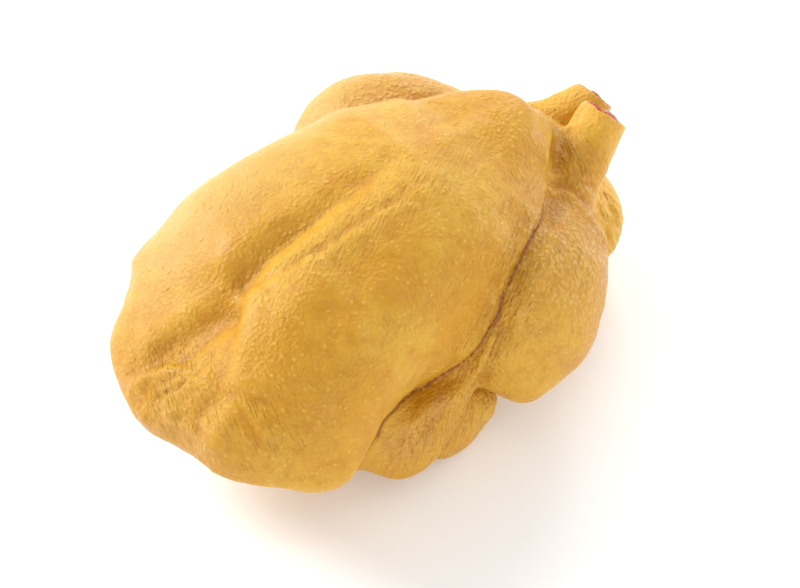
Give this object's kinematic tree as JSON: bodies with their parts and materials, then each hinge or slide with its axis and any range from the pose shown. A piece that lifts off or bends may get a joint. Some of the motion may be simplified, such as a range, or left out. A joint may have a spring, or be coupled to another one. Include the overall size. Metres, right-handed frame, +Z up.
{
  "type": "whole raw chicken",
  "caption": "Whole raw chicken, plucked and ready to cook, lying on its back with breast up, legs drawn in and wings folded.",
  "frame": {"origin": "middle of the bird's box in plan, at the level of the flat of the back that it lies on", "axes": "+X from the neck end to the tail along the bird, +Z up through the breast, +Y to the side of the farther leg"},
  "size_m": [0.262, 0.18, 0.1205],
  "materials": {
    "skin": "moist yellow skin, soft sheen"
  },
  "bodies": {
    "root": {"chicken": "skin"}
  },
  "joints": []
}
